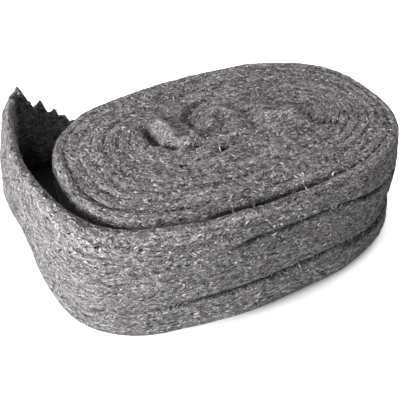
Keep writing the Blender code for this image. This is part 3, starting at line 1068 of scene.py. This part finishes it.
def strand_path(cover, chance, patch, sizes):
    """The points of one curly strand that starts on a patch and follows the surface."""
    corners, normal, along = patch
    u, v = chance.random(), chance.random()
    start = corners[0].lerp(corners[1], u).lerp(corners[3].lerp(corners[2], u), v)
    across = normal.cross(along).normalized()
    flat_top = smooth((normal.z - 0.5) / 0.4)
    heading = chance.gauss(0.0, mix(*STRAND_SPREADS, flat_top))
    heading += math.pi if chance.random() < 0.5 else 0.0
    reach = chance.uniform(SHORTEST_SHARE, 1.0) * sizes.strand_length / (RINGS - 1)
    turning = chance.uniform(-STRAND_TURNING, STRAND_TURNING)
    heading -= turning / 2
    flying = chance.random() < FLYING_SHARE
    arch = chance.uniform(*STRAND_ARCH)
    rise = chance.uniform(*FLYING_RISE)
    x, y = 0.0, 0.0
    points = []
    for k in range(RINGS):
        gone = k / (RINGS - 1)
        on, out = cover.tree.find_nearest(start + along * x + across * y)[:2]
        lift = math.sin(math.pi * gone) * arch - STRAND_BED
        if flying:
            lift += gone**FLYING_BEND * rise
        point = on + out * lift
        point.z = max(point.z, sizes.strand_thickness)
        points.append(point)
        x += math.cos(heading) * reach
        y += math.sin(heading) * reach
        heading += turning / (RINGS - 1)
    return points


def strands(name, cover, chance, sizes):
    """A piece of many curly strands: one straight strand is copied, and each copy is bent
    along its own path."""
    bm = bmesh.new()
    layout = straight_strand(bm)
    count, faces_each = sizes.strands_per_piece, len(bm.faces)
    made = 1
    while made < count:
        copied = min(made, count - made)
        bmesh.ops.duplicate(bm, geom=bm.faces[: copied * faces_each])
        made += copied
    bm.verts.ensure_lookup_table()
    for i in range(count):
        patch = cover.patch_at((i + chance.random()) / count)
        points = strand_path(cover, chance, patch, sizes)
        radius = sizes.strand_thickness / 2 * chance.uniform(*THICKNESS_SPREAD)
        run = (points[-1] - points[0]).normalized()
        side = run.cross(patch.normal).normalized()
        over = run.cross(side).normalized()
        for j, (ring, angle) in enumerate(layout):
            thin = THIN_END if ring in (0, RINGS - 1) else 1.0
            offset = (side * math.cos(angle) + over * math.sin(angle)) * radius * thin
            bm.verts[i * len(layout) + j].co = points[ring] + offset
    mesh = bpy.data.meshes.new(name)
    bmesh.ops.recalc_face_normals(bm, faces=bm.faces)
    bm.to_mesh(mesh)
    bm.free()
    mesh.shade_smooth()
    return mesh


class WoolSizes(bpy.types.PropertyGroup):
    strip_width: bpy.props.FloatProperty(
        name="Strip width",
        description="Width of the strip, which is the height of the roll",
        default=0.100,
        unit="LENGTH",
    )
    turn_pitch: bpy.props.FloatProperty(
        name="Turn pitch",
        description="Distance between one turn and the next",
        default=0.0085,
        unit="LENGTH",
    )
    turns: bpy.props.IntProperty(
        name="Turns",
        description="Number of turns in the roll",
        default=11,
    )
    fold_half_length: bpy.props.FloatProperty(
        name="Fold half length",
        description="Half the length of the first fold that the strip is wound round",
        default=0.051,
        unit="LENGTH",
    )
    eye_half_width: bpy.props.FloatProperty(
        name="Eye half width",
        description="Half the opening left in the first fold",
        default=0.001,
        unit="LENGTH",
    )
    surface_spacing: bpy.props.FloatProperty(
        name="Surface spacing",
        description="Distance between the surface's points along the strip",
        default=0.0021,
        unit="LENGTH",
    )


class WoolColours(bpy.types.PropertyGroup):
    gap_colour: bpy.props.FloatVectorProperty(
        name="Gap colour",
        description="Colour of the shaded gaps between fibres",
        default=(0.022, 0.021, 0.022, 1.0),
        size=4,
        subtype="COLOR",
    )
    wool_colour: bpy.props.FloatVectorProperty(
        name="Wool colour",
        description="Colour of the mass of fibres",
        default=(0.203, 0.197, 0.200, 1.0),
        size=4,
        subtype="COLOR",
    )
    glint_colour: bpy.props.FloatVectorProperty(
        name="Glint colour",
        description="Colour of the bright fibres",
        default=(0.63, 0.615, 0.62, 1.0),
        size=4,
        subtype="COLOR",
    )


class StrandSizes(bpy.types.PropertyGroup):
    strand_length: bpy.props.FloatProperty(
        name="Strand length",
        description="Length of the longest strands",
        default=0.0075,
        unit="LENGTH",
    )
    strand_thickness: bpy.props.FloatProperty(
        name="Strand thickness",
        description="Thickness of a strand",
        default=0.00013,
        unit="LENGTH",
    )
    strands_per_piece: bpy.props.IntProperty(
        name="Strands per piece",
        description="Number of strands in each group",
        default=9300,
    )


class WOOL_OT_inner_turns(bpy.types.Operator):
    """Wind the strip's inner turns"""

    bl_idname = "wool.inner_turns"
    bl_label = "Inner turns"

    def execute(self, context):
        winding = Winding(context.scene.wool_sizes)
        sections, distances = inner_sections(winding, context.scene.wool_sizes.surface_spacing)
        places = section_places(sections[len(sections) // 2])
        mesh = closed_band("inner_turns", sections, distances, places)
        finish_piece(mesh, wool_material("matted_wool_inner", context.scene.wool_colours), True)
        return {"FINISHED"}


class WOOL_OT_outer_turn(bpy.types.Operator):
    """Wind the last turn and swing its end loose"""

    bl_idname = "wool.outer_turn"
    bl_label = "Outer turn and loose end"

    def execute(self, context):
        winding = Winding(context.scene.wool_sizes)
        sections, distances = outer_sections(winding, context.scene.wool_sizes.surface_spacing)
        places = section_places(sections[len(sections) // 2])
        mesh = closed_band("outer_turn_and_loose_end", sections, distances, places)
        finish_piece(mesh, wool_material("matted_wool_outer", context.scene.wool_colours), True)
        return {"FINISHED"}


class WOOL_OT_strands(bpy.types.Operator):
    """Lay loose strands of steel over the roll"""

    bl_idname = "wool.strands"
    bl_label = "Loose strands"

    def execute(self, context):
        sizes = context.scene.strand_sizes
        cover = Cover([bpy.data.objects["inner_turns"], bpy.data.objects["outer_turn_and_loose_end"]])
        chance = random.Random(4)
        for name, colour in STRAND_GROUPS:
            mesh = strands(name, cover, chance, sizes)
            finish_piece(mesh, strand_material(name, colour))
        return {"FINISHED"}


def aimed(thing, target):
    """Turns a camera or a lamp to face a target."""
    thing.rotation_euler = (target - thing.location).to_track_quat("-Z", "Y").to_euler()


def add_lamp(target, name, place, size, watts, colour):
    """A square soft lamp that faces a target."""
    lamp = bpy.data.lights.new(name, "AREA")
    lamp.color = colour
    lamp.size = size
    lamp.energy = watts
    thing = bpy.data.objects.new(name, lamp)
    bpy.context.scene.collection.objects.link(thing)
    thing.location = place
    aimed(thing, target)


def oval_distance(wiring, place, oval):
    """The distance from an oval's centre in plan, with 1 at its edge."""
    (x, y), (half_length, half_width) = oval
    scale = (1 / half_length, 1 / half_width, 0.0)
    moved = wiring.moved(place, scale, (-x / half_length, -y / half_width, 0.0))
    return wiring.node("ShaderNodeVectorMath", {"operation": "LENGTH"}, [moved], "Value")


def add_floor():
    """A white floor that keeps the roll's soft shadow, with a dark shadow painted in the roll's gap.
    """
    bm = bmesh.new()
    bmesh.ops.create_grid(bm, x_segments=1, y_segments=1, size=FLOOR_HALF_SIDE)
    mesh = bpy.data.meshes.new("floor")
    bm.to_mesh(mesh)
    bm.free()
    material = bpy.data.materials.new("white_floor")
    material.use_nodes = True
    wiring = Wiring(material.node_tree)
    seen = wiring.node("ShaderNodeLightPath", output=0)
    place = wiring.node("ShaderNodeTexCoord", output=3)
    past_shadow = oval_distance(wiring, place, SHADOW_OVAL).eased(*SHADOW_FADE)
    # Painted shadow: inside the gap's oval the floor's colour is painted near black and it does not
    # glow
    past_gap_shadow = oval_distance(wiring, place, GAP_SHADOW_OVAL).eased(*GAP_SHADOW_FADE)
    cover = wiring.colour_mix(past_gap_shadow, GAP_SHADOW_COLOUR, FLOOR_COLOUR)
    paint = wiring.node("ShaderNodeBsdfDiffuse", {}, {"Color": cover})
    glow = wiring.node("ShaderNodeEmission", {}, {"Color": WHITE, "Strength": FLOOR_GLOW})
    lit = wiring.node("ShaderNodeAddShader", {}, [paint, glow])
    glowing = seen * past_shadow * past_gap_shadow
    surface = wiring.node("ShaderNodeMixShader", {}, [glowing, paint, lit])
    wiring.node("ShaderNodeOutputMaterial", {}, {"Surface": surface})
    mesh.materials.append(material)
    floor = bpy.data.objects.new("floor", mesh)
    bpy.context.scene.collection.objects.link(floor)


def add_world():
    """A plain pale room, white where the camera sees it."""
    world = bpy.data.worlds.new("room")
    world.use_nodes = True
    wiring = Wiring(world.node_tree)
    seen = wiring.node("ShaderNodeLightPath", output=0)
    inputs = {"Color": WHITE, "Strength": ROOM_LIGHT + seen * (1 - ROOM_LIGHT)}
    light = wiring.node("ShaderNodeBackground", {}, inputs)
    wiring.node("ShaderNodeOutputWorld", {}, {"Surface": light})
    bpy.context.scene.world = world


class WOOL_OT_stage(bpy.types.Operator):
    """Set the floor, the lamps and the camera"""

    bl_idname = "wool.stage"
    bl_label = "Floor, lamps and camera"

    def execute(self, context):
        add_floor()
        add_world()
        middle = (CAD_BOX[0] + CAD_BOX[1]) / 2
        for lamp in LAMPS:
            add_lamp(middle, *lamp)
        camera = bpy.data.objects.new("camera", bpy.data.cameras.new("camera"))
        context.scene.collection.objects.link(camera)
        camera.data.lens = CAMERA_LENS
        camera.data.shift_x, camera.data.shift_y = CAMERA_SHIFT
        camera.location = CAMERA_PLACE
        aimed(camera, CAMERA_TARGET)
        context.scene.camera = camera
        context.scene.view_settings.view_transform = "Standard"
        return {"FINISHED"}


class WOOL_PT_panel(bpy.types.Panel):
    """Lists the steps that make the roll"""

    bl_label = "Steel wool roll"
    bl_idname = "WOOL_PT_panel"
    bl_space_type = "VIEW_3D"
    bl_region_type = "UI"
    bl_category = "Steel wool"

    def draw(self, context):
        for group, kind in SETTINGS.items():
            for name in kind.__annotations__:
                self.layout.prop(getattr(context.scene, group), name)
        for step in STEPS:
            self.layout.operator(step.bl_idname)


STEPS = (WOOL_OT_inner_turns, WOOL_OT_outer_turn, WOOL_OT_strands, WOOL_OT_stage)
SETTINGS = {"wool_sizes": WoolSizes, "wool_colours": WoolColours, "strand_sizes": StrandSizes}


def register():
    for kind in (*SETTINGS.values(), *STEPS, WOOL_PT_panel):
        bpy.utils.register_class(kind)
    for name, kind in SETTINGS.items():
        setattr(bpy.types.Scene, name, bpy.props.PointerProperty(type=kind))


def unregister():
    for name in SETTINGS:
        delattr(bpy.types.Scene, name)
    for kind in (WOOL_PT_panel, *reversed(STEPS), *SETTINGS.values()):
        bpy.utils.unregister_class(kind)


def main():
    register()
    bpy.ops.wool.inner_turns()
    bpy.ops.wool.outer_turn()
    bpy.ops.wool.strands()
    bpy.ops.wool.stage()


if __name__ == "__main__":
    main()
